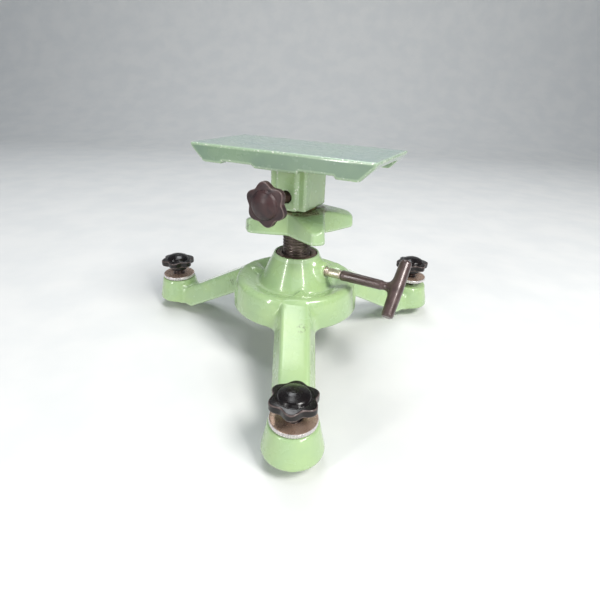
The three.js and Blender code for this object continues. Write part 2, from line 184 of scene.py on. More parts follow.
def union(a, b, blend=0.0):
    """Joins two fields, with a fillet about half as large as blend."""
    if not np.any(blend):
        return np.minimum(a, b)
    share = np.clip(0.5 + 0.5 * (b - a) / blend, 0.0, 1.0)
    return b + (a - b) * share - blend * share * (1.0 - share)


def common(a, b, blend=0.0):
    """What two fields share."""
    return -union(-a, -b, blend)


def cut(a, b, blend=0.0):
    """The first field without the second."""
    return common(a, -b, blend)


def outline_distance(x, y, outline):
    """Signed distance to a closed outline of [x, y] points."""
    nearest = np.full(x.shape, np.inf)
    sign = np.ones(x.shape)
    for (x0, y0), (x1, y1) in zip(outline, outline[1:] + outline[:1]):
        ex, ey = x1 - x0, y1 - y0
        wx, wy = x - x0, y - y0
        along = np.clip((wx * ex + wy * ey) / (ex * ex + ey * ey), 0.0, 1.0)
        nearest = np.minimum(nearest, (wx - ex * along) ** 2 + (wy - ey * along) ** 2)
        above = y >= y0
        below = y < y1
        left = ex * wy > ey * wx
        crossing = (above & below & left) | ~(above | below | left)
        sign = np.where(crossing, -sign, sign)
    return sign * np.sqrt(nearest)


def revolved(p, outline):
    """A solid turned about Z from [radius, height] points."""
    return outline_distance(np.hypot(p[:, 0], p[:, 1]), p[:, 2], outline)


def rod(p, radius, z0, z1):
    """A cylinder about Z between two heights."""
    across = np.hypot(p[:, 0], p[:, 1]) - radius
    return np.maximum(across, np.maximum(z0 - p[:, 2], p[:, 2] - z1))


def slab(values, low, high):
    """The space where the values lie between two limits."""
    return np.maximum(low - values, values - high)


def rounded(curve):
    """An open run of [r, z] points drawn as a smooth curve through them."""
    steps = 4
    points = [np.array(q, float) for q in curve]
    out = []
    for i in range(len(points) - 1):
        before = points[max(i - 1, 0)]
        after = points[min(i + 2, len(points) - 1)]
        start, end = points[i], points[i + 1]
        for k in range(steps):
            t = k / steps
            out.append(list(0.5 * (
                2 * start + (end - before) * t
                + (2 * before - 5 * start + 4 * end - after) * t * t
                + (3 * start - before - 3 * end + after) * t ** 3)))
    out.append(list(points[-1]))
    return out


def turned_to(p, azimuth):
    """Points seen from a frame whose X axis lies along the azimuth."""
    a = radians(azimuth)
    x, y = p[:, 0], p[:, 1]
    return np.stack([x * cos(a) + y * sin(a), y * cos(a) - x * sin(a), p[:, 2]], axis=1)


def facing(p, azimuth, height):
    """Points seen from a frame on the column axis whose Z axis points out along the azimuth."""
    q = turned_to(p, azimuth)
    return np.stack([height - q[:, 2], q[:, 1], q[:, 0]], axis=1)


# ---- meshes -----------------------------------------------------------------------------


def gradient(field, points, step):
    """The field's slope along X, Y and Z at each point."""
    slopes = []
    for axis in np.eye(3) * step:
        slopes.append((field(points + axis) - field(points - axis)) / (2 * step))
    return np.stack(slopes, axis=1)


def new_object(name, points, faces, matrix):
    """A smooth-shaded object in the row frame, from millimetre points and a matrix."""
    mesh = bpy.data.meshes.new(name)
    mesh.from_pydata(np.asarray(points).tolist(), [], [list(map(int, f)) for f in faces])
    mesh.transform(Matrix.Scale(MM, 4) @ matrix)
    mesh.validate()
    mesh.shade_smooth()
    piece = bpy.data.objects.new(name, mesh)
    bpy.context.scene.collection.objects.link(piece)
    return piece


def field_values(field, low, voxel, counts, block):
    """The field on a grid, worked out in full only near its surface."""
    steps = np.stack(np.meshgrid(*[np.arange(n) for n in counts], indexing="ij"), axis=-1)
    middles = low + voxel * (steps.reshape(-1, 3) * block + (block - 1) / 2)
    coarse = field(middles).reshape(counts)
    values = coarse
    for axis in range(3):
        values = np.repeat(values, block, axis=axis)
    near = np.abs(coarse) < block * voxel * 1.5  # further than a block's middle from its corner
    inner = np.stack(np.meshgrid(*[np.arange(block)] * 3, indexing="ij"), axis=-1).reshape(-1, 3)
    points = low + voxel * (np.argwhere(near)[:, None, :] * block + inner)
    cells = values.reshape(counts[0], block, counts[1], block, counts[2], block)
    cells = cells.transpose(0, 2, 4, 1, 3, 5)
    cells[near] = field(points.reshape(-1, 3)).reshape(-1, block, block, block)
    return values


def settled(points, field, voxel):
    """Points moved along the field's slope until they lie on its zero level."""
    for _ in range(4):
        slope = gradient(field, points, 0.1 * voxel)
        steepness = np.maximum((slope ** 2).sum(axis=1, keepdims=True), 0.2)
        step = field(points)[:, None] * slope / steepness
        points -= np.clip(step, -0.5 * voxel, 0.5 * voxel)
    return points


def store(piece, label, values):
    """Keeps one number per point under a label that a material can read."""
    layer = piece.data.attributes.new(label, "FLOAT", "POINT")
    layer.data.foreach_set("value", values.astype(np.float32))


def surface(name, field, low, high, matrix, voxel, wear=1.5):
    """An object on the field's zero level, between two corners, meshed at the voxel's size.

    wear is how far from the surface its edges and hollows are felt for; the materials read them for worn
    edges, painted highlights and painted shade.
    """
    block = 4
    low = np.array(low, float)
    counts = np.ceil((np.array(high) - low) / (voxel * block)).astype(int) + 1
    grid = openvdb.FloatGrid(1.0)
    grid.copyFromArray(field_values(field, low, voxel, counts, block).astype(np.float32))
    points, faces = grid.convertToQuads(isovalue=0.0)
    points = settled(points.astype(float) * voxel + low, field, voxel)
    slope = gradient(field, points, 0.3 * voxel)
    normals = slope / np.maximum(np.linalg.norm(slope, axis=1, keepdims=True), 1e-6)
    a, b, c = (points[faces[:, k]] for k in range(3))
    winding = (np.cross(b - a, c - a) * normals[faces[:, 0]]).sum()
    if winding < 0:
        faces = faces[:, ::-1]
    piece = new_object(name, points, faces, matrix)
    store(piece, "edge", np.clip(1.0 + field(points - normals * wear) / wear, 0.0, 1.0))
    store(piece, "hollow", np.clip(1.0 - field(points + normals * wear) / wear, 0.0, 1.0))
    return piece


def spun(name, profile, segments, matrix, relief=None):
    """A closed solid of revolution. relief(angle, z, r) gives each ring point's radius."""
    points = []
    for r, z in profile:
        for k in range(segments):
            angle = k * 2 * pi / segments
            radius = relief(angle, z, r) if relief else r
            points.append([radius * cos(angle), radius * sin(angle), z])
    faces = []
    for low in range(0, (len(profile) - 1) * segments, segments):
        high = low + segments
        for k in range(segments):
            n = (k + 1) % segments
            faces.append([low + k, low + n, high + n, high + k])
    last = (len(profile) - 1) * segments
    if profile[0] == profile[-1]:
        faces = [[v - last if v >= last else v for v in f] for f in faces]
        points = points[:last]
    else:
        faces.append(list(range(segments))[::-1])
        faces.append([last + k for k in range(segments)])
    piece = new_object(name, points, faces, matrix)
    crease(piece)
    return piece


def crease(piece):
    """Keeps sharp edges sharp in shading."""
    with bpy.context.temp_override(object=piece, active_object=piece, selected_objects=[piece],
                                   selected_editable_objects=[piece]):
        bpy.ops.object.shade_smooth_by_angle(angle=radians(38.0))


def rings(z0, z1, r, step):
    """[r, z] points from z0 to z1 at an even step."""
    count = max(2, int(round((z1 - z0) / step)))
    return [[r, z0 + (z1 - z0) * k / count] for k in range(count + 1)]


def thread_relief(pitch, depth, z0, z1):
    """A right-hand thread between two heights, running out over a millimetre at both ends."""
    def relief(angle, z, r):
        phase = (z / pitch - angle / (2 * pi)) % 1.0
        groove = 1.0 - abs(2.0 * phase - 1.0)
        groove = min(max(groove * 1.5 - 0.25, 0.0), 1.0)  # flat crests and roots
        run = min(max(z - z0, 0.0), max(z1 - z, 0.0), 1.0)
        return r - depth * groove * run
    return relief


def at(point, azimuth=0.0):
    """A frame standing at a point and turned to an azimuth."""
    return Matrix.Translation(Vector(point)) @ Matrix.Rotation(radians(azimuth), 4, "Z")


def pointing(azimuth, height):
    """The column frame turned so that +Z points out along the azimuth at a height."""
    turn = Matrix.Rotation(radians(azimuth), 4, "Z") @ Matrix.Rotation(pi / 2, 4, "Y")
    return Matrix.Translation(Vector(COLUMN) + Vector((0, 0, height))) @ turn


# ---- materials --------------------------------------------------------------------------


def srgb(r, g, b):
    """A linear colour from 0-255 display values."""
    out = []
    for value in (r, g, b):
        v = value / 255
        out.append(v / 12.92 if v <= 0.04045 else ((v + 0.055) / 1.055) ** 2.4)
    return (*out, 1.0)


class Paint:
    """A Principled material and short ways to drive it from procedural nodes."""

    def __init__(self, name):
        self.material = bpy.data.materials.new(name)
        self.material.use_nodes = True
        self.tree = self.material.node_tree
        self.shader = self.tree.nodes["Principled BSDF"]
        self.place = self.add("ShaderNodeTexCoord").outputs["Object"]

    def add(self, kind, inputs=(), **settings):
        node = self.tree.nodes.new(kind)
        for key, value in settings.items():
            setattr(node, key, value)
        for key, value in dict(inputs).items():
            self.put(node.inputs[key], value)
        return node

    def put(self, socket, value):
        if isinstance(value, bpy.types.NodeSocket):
            self.tree.links.new(value, socket)
        else:
            socket.default_value = value

    def set(self, **values):
        """Sets the shader's inputs, with _ for a space in their names."""
        for key, value in values.items():
            self.put(self.shader.inputs[key.replace("_", " ")], value)

    def noise(self, size, detail=3.0, rough=0.5, warp=0.0):
        """Soft noise whose features are about size millimetres."""
        node = self.add("ShaderNodeTexNoise", {
            "Vector": self.place, "Scale": 1.0 / (size * MM), "Detail": detail,
            "Roughness": rough, "Distortion": warp})
        return node.outputs["Fac"]

    def ramp(self, value, low, high, out_low=0.0, out_high=1.0):
        """Rises smoothly from out_low to out_high as the value goes from low to high."""
        node = self.add("ShaderNodeMapRange", {
            "Value": value, "From Min": low, "From Max": high, "To Min": out_low, "To Max": out_high},
            interpolation_type="SMOOTHSTEP")
        return node.outputs["Result"]

    def math(self, operation, a, b):
        return self.add("ShaderNodeMath", {0: a, 1: b}, operation=operation).outputs[0]

    def mix(self, share, a, b):
        """Colour a, with a share of colour b. The node's colours are its sockets 6, 7 and 2."""
        node = self.add("ShaderNodeMix", data_type="RGBA")
        self.put(node.inputs[0], share)
        self.put(node.inputs[6], a)
        self.put(node.inputs[7], b)
        return node.outputs[2]

    def stored(self, label):
        """A number that surface() kept with the mesh."""
        return self.add("ShaderNodeAttribute", attribute_name=label).outputs["Fac"]

    def bump(self, height, depth, below=None):
        """Relief of depth millimetres for a height from 0 to 1."""
        inputs = {"Height": height, "Distance": depth * MM, "Strength": 1.0}
        if below is not None:
            inputs["Normal"] = below
        return self.add("ShaderNodeBump", inputs).outputs["Normal"]


def spots(m, places, spread):
    """A mask that is 1 near any of the places, given in millimetres from the column axis."""
    mask = None
    for place in places:
        centre = tuple((COLUMN + np.array(place)) * MM)
        away = m.add("ShaderNodeVectorMath", {0: m.place, 1: centre}, operation="DISTANCE")
        near = m.ramp(away.outputs["Value"], spread * MM, 0.3 * spread * MM)
        mask = near if mask is None else m.math("MAXIMUM", mask, near)
    return mask


def enamel(name, chips=0.0, hollow_shade=0.0, smear=None, greyed_and_shaded=None, scuffs=()):
    """Glossy green enamel over cast iron, with edge wear, chips, scuffs, dirt specks, a painted highlight
    along edges and painted shade in hollows.

    smear(m) masks bare metal, the colour changer, called with (m, tone), greys the colour and paints shade
    and a reflection into it, and scuffs are places.
    """
    m = Paint(name)
    tone = m.mix(m.ramp(m.noise(26, 2), 0.35, 0.65), srgb(162, 190, 140), srgb(168, 195, 138))
    tone = m.mix(m.ramp(m.noise(7, 4, 0.6), 0.45, 0.75, 0.0, 0.25), tone, srgb(153, 184, 138))
    if greyed_and_shaded is not None:
        tone = greyed_and_shaded(m, tone)
    edge = m.stored("edge")
    hollow = m.stored("hollow")
    # Lighter on edges: partly worn paint, partly a painted highlight.
    tone = m.mix(m.ramp(edge, 0.08, 0.3, 0.0, 0.4), tone, srgb(192, 214, 176))
    # Painted shade: darker in hollows and creases, and deeper still by the extra amount the caller asks
    # for.
    tone = m.mix(m.ramp(hollow, 0.1, 0.6, 0.0, 0.3 + hollow_shade), tone, srgb(96, 124, 84))
    speck = m.ramp(m.noise(1.6, 2, 0.7), 0.7, 0.76)
    speck = m.math("MULTIPLY", speck, m.ramp(m.noise(24, 2), 0.55, 0.72))
    if scuffs:
        rubbed = m.math("MULTIPLY", spots(m, scuffs, 5.0), m.ramp(m.noise(1.8, 3, 0.7), 0.48, 0.6))
        speck = m.math("MAXIMUM", speck, rubbed)
    tone = m.mix(m.math("MULTIPLY", speck, 0.6), tone, srgb(74, 76, 62))
    rough = m.ramp(m.noise(9, 3), 0.3, 0.7, 0.2, 0.3)
    metal = 0.0
    if chips > 0.0:
        flake = m.ramp(m.noise(1.5, 3, 0.65), 0.64 - chips, 0.66 - chips)
        flake = m.math("MULTIPLY", flake, m.ramp(edge, 0.17, 0.23))
        tone = m.mix(flake, tone, srgb(226, 226, 216))
        rough = m.math("ADD", rough, m.math("MULTIPLY", flake, 0.3))
    if smear is not None:
        worn = smear(m)
        rust = m.mix(m.ramp(m.noise(1.3, 3, 0.7), 0.4, 0.6), srgb(170, 164, 128), srgb(92, 84, 66))
        tone = m.mix(worn, tone, rust)
        rough = m.math("ADD", rough, m.math("MULTIPLY", worn, 0.25))
        metal = m.math("MULTIPLY", worn, 0.4)
    m.set(Base_Color=tone, Roughness=rough, Metallic=metal, Coat_Weight=0.7, Coat_Roughness=0.08)
    m.set(Normal=m.bump(m.noise(0.9, 2, 0.5), 0.004, m.bump(m.noise(14, 2, 0.4), 0.06)))
    return m.material


def height_ramp(m, low, high):
    """Rises from 0 to 1 between two heights in millimetres."""
    z = m.add("ShaderNodeSeparateXYZ", {0: m.place}).outputs["Z"]
    return m.ramp(z, low * MM, high * MM)


def upward(m, low, high):
    """Rises from 0 on walls to 1 on faces that look up."""
    normal = m.add("ShaderNodeTexCoord").outputs["Normal"]
    return m.ramp(m.add("ShaderNodeSeparateXYZ", {0: normal}).outputs["Z"], low, high)


def plate_grey_with_painted_shade(m, tone):
    """The plate's enamel is greyer than the post's, patchily, with painted shade making its sides darkest
    and a painted blue-grey reflection on its top.
    """
    patch = m.ramp(m.noise(30, 3), 0.3, 0.7, 0.8, 1.0)
    share = m.math("MULTIPLY", height_ramp(m, LIP_BOTTOM_Z - 3.0, LIP_BOTTOM_Z + 2.0), patch)
    # Painted shade on the walls; the bluish colour on the top is a painted reflection.
    return m.mix(share, tone, m.mix(upward(m, 0.3, 0.8), srgb(114, 138, 118), srgb(136, 160, 152)))


def wheel_smear(m):
    """Bare, rubbed metal on the wheel's top where the post turns."""
    offset = m.add("ShaderNodeVectorMath", {0: m.place, 1: tuple(-COLUMN * MM)}, operation="ADD")
    flat = m.add("ShaderNodeVectorMath", {0: offset.outputs[0], 1: (1.0, 1.0, 0.0)},
                 operation="MULTIPLY")
    radius = m.add("ShaderNodeVectorMath", {0: flat.outputs[0]}, operation="LENGTH")
    near = m.ramp(radius.outputs["Value"], 24.5 * MM, 20.0 * MM)
    patch = m.ramp(m.noise(5, 4, 0.7), 0.34, 0.52)
    high = height_ramp(m, WHEEL_TOP_Z - 2.5, WHEEL_TOP_Z - 0.6)
    return m.math("MULTIPLY", m.math("MULTIPLY", near, high), patch)


def steel(name, colour, shade, rough, metallic=0.9):
    """Steel or brass with blotchy oxide and fine grain."""
    m = Paint(name)
    tone = m.mix(m.ramp(m.noise(5, 4, 0.6), 0.35, 0.68), colour, shade)
    tone = m.mix(m.ramp(m.noise(0.6, 3, 0.7), 0.5, 0.8, 0.0, 0.5), tone, colour)
    m.set(Base_Color=tone, Metallic=metallic,
          Roughness=m.ramp(m.noise(2.5, 4, 0.6), 0.3, 0.7, rough - 0.1, rough + 0.14))
    m.set(Normal=m.bump(m.noise(0.5, 3, 0.6), 0.03))
    return m.material


def turned_steel(name, colour, shade, rim):
    """Lathe-turned steel, whose fine rings stretch reflections across them, with a lighter rim that is
    partly bare knurled metal and partly a painted highlight.
    """
    m = Paint(name)
    tone = m.mix(m.ramp(m.noise(8, 3, 0.5), 0.35, 0.68), colour, shade)
    # The sides take the rim colour: bare knurled metal and a painted highlight.
    tone = m.mix(upward(m, 0.5, 0.9), rim, tone)
    tangent = m.add("ShaderNodeTangent", direction_type="RADIAL", axis="Z").outputs[0]
    m.set(Base_Color=tone, Metallic=0.6, Anisotropic=0.75, Tangent=tangent,
          Roughness=m.ramp(m.noise(2.5, 3, 0.6), 0.3, 0.7, 0.24, 0.34))
    m.set(Normal=m.bump(m.noise(0.6, 2, 0.6), 0.008))
    return m.material


def moulded(name, colour, shade, rough):
    """Moulded phenolic, with faint swirls, and edges made lighter partly by dust and hand wear and partly
    by a painted highlight along the rim.
    """
    m = Paint(name)
    tone = m.mix(m.ramp(m.noise(9, 3, 0.6, warp=1.2), 0.4, 0.7), colour, shade)
    # Lighter on edges: dust and hand wear, and a painted highlight along the rim line.
    edge = m.ramp(m.stored("edge"), 0.27, 0.4)
    tone = m.mix(m.math("MULTIPLY", edge, 0.45), tone, srgb(140, 122, 118))
    m.set(Base_Color=tone, Specular_IOR_Level=0.4,
          Roughness=m.ramp(m.noise(4, 4, 0.6), 0.35, 0.7, rough, rough + 0.15))
    m.set(Normal=m.bump(m.noise(1.4, 2), 0.015, m.bump(m.noise(12, 2), 0.12)))
    return m.material


def browned(name):
    """Dark brown-black finish of the T-handle, rubbed lighter on its high places."""
    m = Paint(name)
    tone = m.mix(m.ramp(m.noise(8, 4, 0.6), 0.35, 0.7), srgb(76, 60, 58), srgb(98, 80, 78))
    edge = m.ramp(m.stored("edge"), 0.3, 0.8)
    tone = m.mix(m.math("MULTIPLY", edge, 0.45), tone, srgb(150, 128, 116))
    m.set(Base_Color=tone, Metallic=0.25, Coat_Weight=0.5, Coat_Roughness=0.15,
          Roughness=m.ramp(m.noise(3, 4, 0.6), 0.3, 0.7, 0.3, 0.46))
    m.set(Normal=m.bump(m.noise(0.8, 3), 0.03, m.bump(m.noise(9, 2), 0.15)))
    return m.material


GREEN = enamel("enamel_base", scuffs=((4.8, -65.0, 50.8), (-55.0, 18.0, 47.0)))
# The head's plate gets painted shade on its sides and a painted reflection on its top.
GREEN_HEAD = enamel("enamel_head", chips=0.03, greyed_and_shaded=plate_grey_with_painted_shade)
# The wheel gets deeper painted shade in its hollows.
GREEN_WHEEL = enamel("enamel_wheel", chips=0.02, hollow_shade=0.1, smear=wheel_smear,
                     scuffs=((-38.0, -14.0, 108.0),))
DARK_STEEL = steel("dark_steel", srgb(74, 58, 50), srgb(48, 38, 34), 0.45)
THREAD_STEEL = steel("thread_steel", srgb(128, 114, 110), srgb(82, 70, 66), 0.38)
BRIGHT_STEEL = steel("bright_steel", srgb(214, 202, 188), srgb(178, 162, 148), 0.34, metallic=0.75)
BUSH_STEEL = steel("bush_steel", srgb(118, 96, 90), srgb(90, 72, 68), 0.45, metallic=0.4)
NUT_STEEL = turned_steel("nut_steel", srgb(200, 172, 154), srgb(176, 146, 126), srgb(214, 208, 208))
BRASS = steel("brass", srgb(178, 146, 84), srgb(120, 96, 60), 0.4)
WASHER_METAL = steel("washer_metal", srgb(172, 158, 112), srgb(92, 82, 58), 0.5)
BLACK = moulded("black_plastic", srgb(17, 13, 13), srgb(28, 21, 20), 0.16)
FADED_BLACK = moulded("faded_plastic", srgb(66, 46, 46), srgb(48, 36, 38), 0.3)
HANDLE = browned("handle_finish")


def finish_piece(piece, material, body, slot, *nodes):
    """Gives a piece its material and body, and hides the nodes it stands for. The slot argument is not
    used.
    """
    piece.data.materials.clear()
    piece.data.materials.append(material)
    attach(piece, body)
    if nodes:
        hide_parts(*nodes)
    return piece


# ---- base casting -----------------------------------------------------------------------

LEG_TOP_R, LEG_TOP_Z = 46.0, 62.3  # where the leg's top leaves the bell
LEG_SLOPE = 0.562
LEG_UNDER_Z = 39.5  # height of its underside at the bell
LEG_UNDER_SLOPE = 0.555
LEG_HALF_WIDTH = 10.0
LEG_SPREAD = 0.27  # how far the sides spread for each millimetre down
LEG_START_R = 44.0
SLOPE_LEAN = 0.88  # cosines that turn a height above a sloping face into a distance
SIDE_LEAN = 0.96
CHANNEL_WALL = 4.5
CHANNEL_DROP = 12.0  # how far the cut runs past the leg's underside
CHANNEL_END_R = 106.0
SHOULDER_Z = 58.0  # above this the leg meets the bell in a crisp edge
RIDGE_TOP_Z = 63.3
RIDGE_POINT_R, RIDGE_POINT_HALF = 27.0, 0.4  # the rib's inner point
RIDGE_START_R = 20.0  # inside the cone
RIDGE_WIDENS = 0.36  # half width gained for each millimetre out
RIDGE_SPREAD = 0.9  # and for each millimetre down
RIDGE_LEAN = 0.72
RIDGE_SKEW = 0.26  # how far the rib leans off the leg's middle on its way in
SIDE_BOSS_END_R = 27.0


def leg_top(r):
    """Height of the leg's flat top."""
    return LEG_TOP_Z - (r - LEG_TOP_R) * LEG_SLOPE


def leg_bottom(r):
    """Height of the leg's underside, which slopes down to the boss's foot."""
    return np.maximum(LEG_UNDER_Z - (r - BELL_R) * LEG_UNDER_SLOPE, BOSS_BOTTOM_Z)


def leg_field(q, wall=0.0, drop=0.0, blend=2.2):
    """A leg along +X: flat top, sides that spread downwards, straight underside."""
    r, side, z = q[:, 0], np.abs(q[:, 1]), q[:, 2]
    above = (z - leg_top(r) + wall) * SLOPE_LEAN
    beside = (side - LEG_HALF_WIDTH + wall - LEG_SPREAD * (leg_top(r) - z)) * SIDE_LEAN
    below = (leg_bottom(r) - drop - z) * SLOPE_LEAN
    solid = common(above, beside, blend)
    return common(solid, below, 1.0)


def leg_channel(q):
    """The open channel under a leg."""
    hollow = leg_field(q, wall=CHANNEL_WALL, drop=CHANNEL_DROP, blend=2.0)
    return np.maximum(hollow, slab(q[:, 0], BELL_R + 4.0, CHANNEL_END_R))


def ridge_field(q):
    """The rib that runs from a leg over the bell's shoulder to a point at the cone's foot."""
    r, z = q[:, 0], q[:, 2]
    side = np.abs(q[:, 1] - (LEG_TOP_R - r) * RIDGE_SKEW)
    half = RIDGE_POINT_HALF + (r - RIDGE_POINT_R) * RIDGE_WIDENS
    beside = (side - half - (RIDGE_TOP_Z + 0.1 - z) * RIDGE_SPREAD) * RIDGE_LEAN
    solid = common(z - RIDGE_TOP_Z, beside, 2.0)
    return np.maximum(solid, np.maximum(slab(r, RIDGE_START_R, LEG_TOP_R), SHOULDER_Z - z))


def foot_boss(foot):
    """The tapered boss that a levelling screw runs in."""
    return revolved(foot, [
        [0.0, BOSS_BOTTOM_Z], [BOSS_BOTTOM_R - 1.2, BOSS_BOTTOM_Z],
        [BOSS_BOTTOM_R - 0.2, BOSS_BOTTOM_Z + 0.5], [BOSS_BOTTOM_R, BOSS_BOTTOM_Z + 1.8],
        [BOSS_TOP_R + 0.1, BOSS_TOP_Z - 1.6], [BOSS_TOP_R - 0.5, BOSS_TOP_Z - 0.4],
        [BOSS_TOP_R - 1.4, BOSS_TOP_Z], [0.0, BOSS_TOP_Z]])


def side_boss(mouth):
    """The boss on the cone that the lock screw runs in."""
    end = SIDE_BOSS_END_R
    return revolved(mouth, [
        [0.0, 10.0], [8.6, 10.0], [7.6, end - 1.8], [7.0, end - 0.5], [6.2, end], [0.0, end]])


# A flat underside, the wall, a crisp shoulder, a valley round the cone, and the cone itself.
BELL_OUTLINE = (
    [[0.0, BELL_BOTTOM_Z], [BELL_R - 0.8, BELL_BOTTOM_Z], [BELL_R, BELL_BOTTOM_Z + 0.8]]
    + rounded([[BELL_R - 0.5, 49.0], [BELL_R - 1.6, 55.8], [BELL_R - 2.7, 60.3], [BELL_R - 3.8, 62.2],
               [BELL_R - 5.8, 63.2], [43.0, 63.3], [37.5, 61.6], [32.5, 59.7], [29.7, 60.1], [27.7, 63.6]])
    + [[18.25, HUB_TOP_Z - 1.2], [17.9, HUB_TOP_Z - 0.3], [17.3, HUB_TOP_Z], [0.0, HUB_TOP_Z]]
)
HOLLOW_OUTLINE = [
    [SLEEVE_R, 5.0], [46.2, 5.0], [45.8, 50.0], [43.6, 55.0], [40.2, 57.0], [SLEEVE_R + 2, 57.0],
    [SLEEVE_R, 55.0],
]


def foot_frame(q):
    """Points seen from the foot at the end of a leg along +X."""
    return q - np.array([FOOT_CIRCLE_R, 0.0, 0.0])


def base_field(p):
    """The bell and its legs, ribs and bosses, then everything cut out of them."""
    solid = revolved(p, BELL_OUTLINE)
    legs = [turned_to(p, azimuth) for azimuth in SIDES.values()]
    corner = np.clip((SHOULDER_Z - p[:, 2]) * 0.8, 0.8, 5.0)
    for q in legs:
        along = slab(q[:, 0], LEG_START_R, FOOT_CIRCLE_R - 3.0)
        solid = union(solid, np.maximum(leg_field(q), along), corner)
        solid = union(solid, ridge_field(q), 1.5)
        solid = union(solid, foot_boss(foot_frame(q)), 4.0)
    mouth = facing(p, LOCK_AZIMUTH, LOCK_Z)
    solid = union(solid, side_boss(mouth), 5.0)
    for q in legs:
        foot = foot_frame(q)
        solid = cut(solid, leg_channel(q), 1.0)
        solid = cut(solid, rod(foot, NUT_R + 0.6, BOSS_TOP_Z, 70.0), 0.6)
        solid = np.maximum(solid, -rod(foot, LEVEL_SCREW_R + GAP, 0.0, 60.0))
    solid = cut(solid, revolved(p, HOLLOW_OUTLINE), 0.8)
    solid = np.maximum(solid, -rod(p, SLEEVE_R + 1.0, 5.0, SLEEVE_BOTTOM_Z))
    solid = np.maximum(solid, -rod(p, BUSH_R + GAP, SLEEVE_BOTTOM_Z - 1.0, HUB_TOP_Z + 2.0))
    return cut(solid, rod(mouth, LOCK_SCREW_R + GAP, 10.0, 40.0), 0.6)


def base_casting():
    reach = FOOT_CIRCLE_R + BOSS_BOTTOM_R + 2.0
    wide = reach * cos(radians(30.0)) + 6.0
    low = (-wide, -reach, 5.0)
    high = (wide, reach / 2 + 12.0, HUB_TOP_Z + 3.0)
    piece = surface("base_shell", base_field, low, high, at(COLUMN), voxel=1.15)
    finish_piece(piece, GREEN, "base", "enamel", "base_casting")


def hub_bush():
    """The threaded bush, with a chamfered mouth and a slot worn towards the lock."""
    z0, z1 = bottom("hub_bush"), top("hub_bush")

    def field(p):
        ring = revolved(p, [
            [SCREW_R + 0.4, z0], [BUSH_R - 0.6, z0], [BUSH_R, z0 + 0.6], [BUSH_R, z1 - 0.8],
            [BUSH_R - 0.8, z1], [SCREW_R + 1.0, z1], [SCREW_R + 0.4, z1 - 0.6]])
        q = turned_to(p, LOCK_AZIMUTH)
        slot_cut = np.maximum(np.abs(q[:, 1]) - 1.6, slab(q[:, 0], SCREW_R - 2.0, SCREW_R + 2.6))
        return cut(ring, slot_cut, 0.5)

    reach = BUSH_R + 2.0
    low = (-reach, -reach, z0 - 2)
    high = (reach, reach, z1 + 2)
    piece = surface("hub_bush_ring", field, low, high, at(COLUMN), voxel=0.5)
    finish_piece(piece, BUSH_STEEL, "base", "dark_steel", "hub_bush")


base_casting()
hub_bush()

# ---- lock -------------------------------------------------------------------------------


def lock_screw():
    """The lock's screw, threaded to just short of its bare stretch, with a thinner tail."""
    start, end = LOCK_SCREW_START, HANDLE_START_R + 12.0
    shoulder = HANDLE_START_R - 0.4
    profile = (
        [[1.6, start], [LOCK_SCREW_R, start + 1.6]]
        + rings(start + 2.0, LOCK_THREAD_END, LOCK_SCREW_R, 0.16)
        + [[LOCK_SCREW_R, LOCK_THREAD_END + 0.6], [LOCK_SCREW_R, shoulder - 0.8],
           [LOCK_SCREW_R - 0.7, shoulder], [2.2, shoulder + 0.1], [2.2, end]])
    thread = thread_relief(LOCK_PITCH, LOCK_THREAD_DEPTH, start + 1.0, LOCK_THREAD_END - 0.2)
    piece = spun("lock_stud", profile, 48, pointing(LOCK_AZIMUTH, LOCK_Z), thread)
    finish_piece(piece, BRIGHT_STEEL, "lock_handle", "bright_steel", "lock_screw")


def t_handle_field(p):
    """A round shank along +Z and a tapered bar across its end."""
    start = HANDLE_START_R
    shank = revolved(p, [
        [0.0, start], [3.6, start], [4.1, start + 0.5], [4.15, start + 1.6], [4.0, start + 3.0],
        [3.7, BAR_R - 12.0], [0.0, BAR_R]])
    q = turned_to(p, BAR_TILT + 90.0)
    bar_points = np.stack([q[:, 1], q[:, 2] - BAR_R, q[:, 0]], axis=1)
    bar = revolved(bar_points, [
        [0.0, -BAR_HALF], [3.2, -BAR_HALF], [4.0, -BAR_HALF + 0.4], [4.45, -BAR_HALF + 1.4],
        [4.9, -6.0], [4.9, 6.0], [4.55, BAR_HALF - 2.2], [4.0, BAR_HALF - 0.8], [2.8, BAR_HALF],
        [0.0, BAR_HALF]])
    socket = rod(p, HANDLE_SOCKET_R, start - 3.0, start + HANDLE_SOCKET_DEPTH)
    return np.maximum(union(shank, bar, 7.0), -socket)


def t_handle():
    reach = BAR_HALF * 0.8 + 6.0
    low = (-reach, -reach, HANDLE_START_R - 2)
    high = (reach, reach, BAR_R + 8.0)
    piece = surface("t_handle_cast", t_handle_field, low, high, pointing(LOCK_AZIMUTH, LOCK_Z),
                    voxel=0.55, wear=0.6)
    finish_piece(piece, HANDLE, "lock_handle", "handle_finish", "t_handle")


lock_screw()
t_handle()

# ---- elevation screw, wheel and washer --------------------------------------------------


def elevation_screw():
    """The elevation screw, threaded up to the wheel, with a plain spigot above it."""
    z0, z1 = bottom("elevation_screw"), top("elevation_screw")
    profile = (
        [[4.0, z0], [SCREW_R - 1.4, z0]]
        + rings(z0 + 1.4, WHEEL_BOTTOM_Z + 1.0, SCREW_R, SCREW_PITCH / 10)
        + [[SCREW_R, WHEEL_TOP_Z], [SPIGOT_R, WHEEL_TOP_Z], [SPIGOT_R, z1 - 1.0],
           [SPIGOT_R - 1.0, z1], [3.0, z1]])
    thread = thread_relief(SCREW_PITCH, SCREW_THREAD_DEPTH, z0 - 2.0, WHEEL_BOTTOM_Z + 3.0)
    piece = spun("elevation_spindle", profile, 72, at(COLUMN), thread)
    finish_piece(piece, THREAD_STEEL, "wheel", "dark_steel", "elevation_screw")


